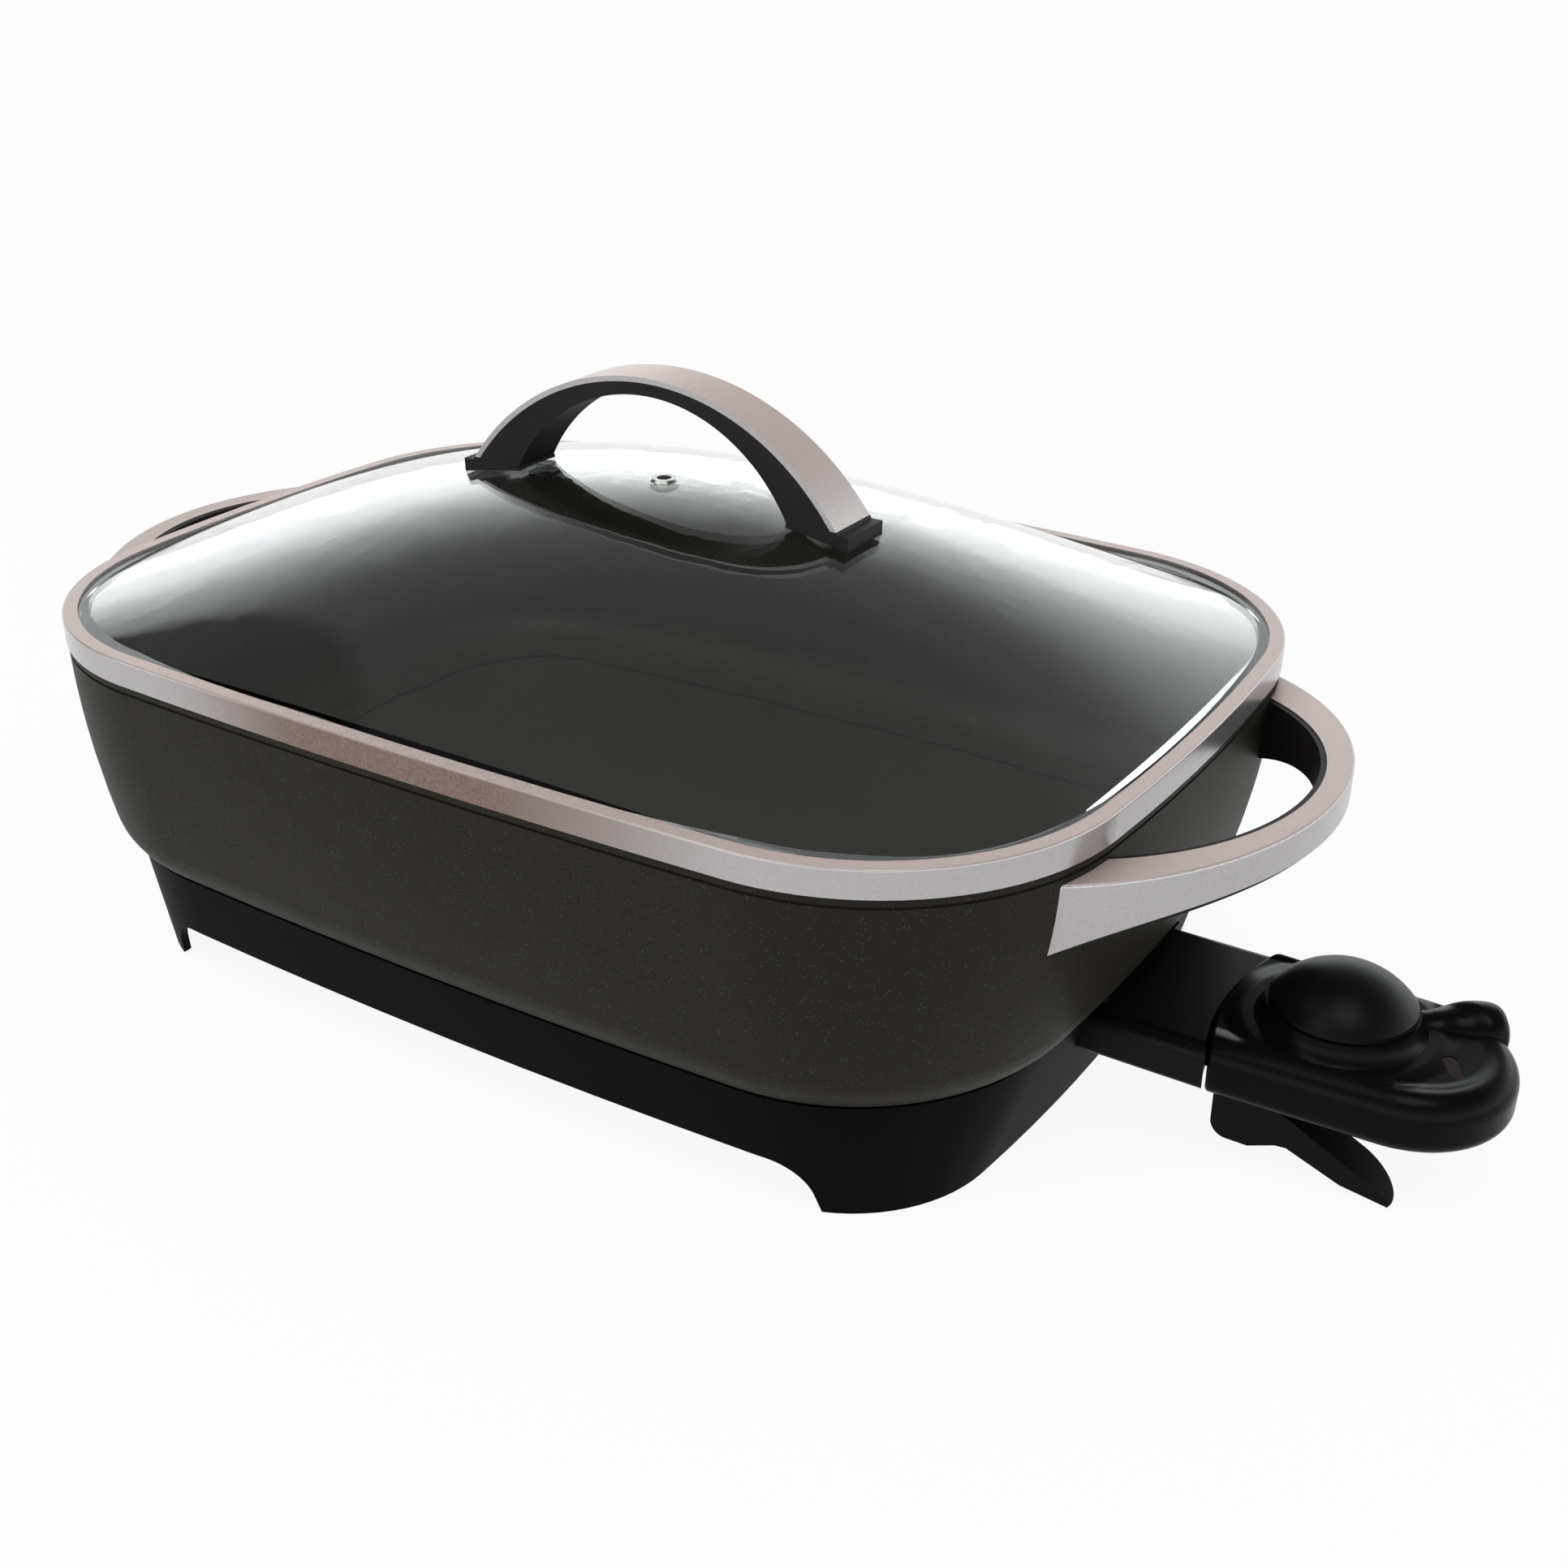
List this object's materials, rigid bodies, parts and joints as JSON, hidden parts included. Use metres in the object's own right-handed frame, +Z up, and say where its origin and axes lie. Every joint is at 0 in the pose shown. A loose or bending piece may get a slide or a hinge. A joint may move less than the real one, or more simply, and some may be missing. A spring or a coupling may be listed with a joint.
{
  "type": "electric skillet",
  "caption": "Electric skillet with a deep non-stick pan on a moulded base, a lift-off domed glass lid and a plug-in dial heat control.",
  "frame": {"origin": "on the surface the skillet stands on, under the middle of its whole length, control included", "axes": "+X along the length towards the plug-in heat control, +Z up, -Y the front long side"},
  "size_m": [0.5455, 0.2866, 0.209],
  "materials": {
    "pan_coating": "cast aluminium under a dark charcoal non-stick coating, matte, fine grain",
    "element_sheath": "drawn steel sheath, dull",
    "plated_steel": "zinc plated steel",
    "ceramic": "unglazed white ceramic",
    "base_plastic": "black phenolic, satin",
    "grip_plastic": "black phenolic, satin",
    "satin_trim": "satin silver cover",
    "rim_steel": "satin stainless steel",
    "lid_glass": "clear tempered glass",
    "gasket_rubber": "black silicone rubber",
    "control_plastic": "black moulded plastic, semi-gloss",
    "block_plastic": "black heat-resistant phenolic",
    "contact_brass": "plain brass",
    "rod_aluminium": "turned aluminium",
    "lamp_glass": "small neon lamp",
    "lens_plastic": "dark tinted lens",
    "lever_plastic": "black moulded plastic, satin",
    "spring_steel": "spring wire"
  },
  "bodies": {
    "skillet": {"pan": "pan_coating", "heating_element": "element_sheath", "terminal_pins": "plated_steel", "terminal_insulators": "ceramic", "base_skirt": "base_plastic", "base_screws": "plated_steel", "probe_guard": "base_plastic", "guard_screws": "plated_steel", "handle_right_core": "grip_plastic", "handle_right_trim": "satin_trim", "handle_right_screws": "plated_steel", "handle_left_core": "grip_plastic", "handle_left_trim": "satin_trim", "handle_left_screws": "plated_steel"},
    "lid": {"lid_rim": "rim_steel", "lid_glass": "lid_glass", "vent_eyelet": "rim_steel", "lid_handle_grip": "grip_plastic", "lid_handle_trim": "satin_trim", "lid_handle_gaskets": "gasket_rubber", "lid_handle_washers": "plated_steel", "lid_handle_screws": "plated_steel"},
    "control": {"probe_upper_case": "control_plastic", "probe_lower_case": "control_plastic", "case_screws": "plated_steel", "contact_block": "block_plastic", "contact_sleeves": "contact_brass", "sensor_rod": "rod_aluminium", "thermostat_frame": "plated_steel", "bimetal_strip": "contact_brass", "switch_contacts": "contact_brass", "pilot_lamp": "lamp_glass", "pilot_lens": "lens_plastic", "cord_gland": "gasket_rubber", "lever_pin": "plated_steel", "lever_spring": "spring_steel"},
    "dial": {"dial_knob": "control_plastic", "dial_shaft": "plated_steel"},
    "lever": {"release_lever": "lever_plastic"}
  },
  "joints": [
    {"name": "lid_lift", "type": "slide", "parent": "skillet", "child": "lid", "axis": [0, 0, 1], "range_m": [0, 0.12]},
    {"name": "control_plug", "type": "slide", "parent": "skillet", "child": "control", "axis": [1, 0, 0], "range_m": [0, 0.1]},
    {"name": "dial_turn", "type": "hinge", "parent": "control", "child": "dial", "pos_m": [0.219, 0, 0.05], "axis": [0, 0, 1], "range_deg": [0, 300]},
    {"name": "lever_squeeze", "type": "hinge", "parent": "control", "child": "lever", "pos_m": [0.198, 0, 0.018], "axis": [0, -1, 0], "range_deg": [0, 12], "stiffness_Nm_per_rad": 0.4, "springref_deg": -11.46}
  ]
}
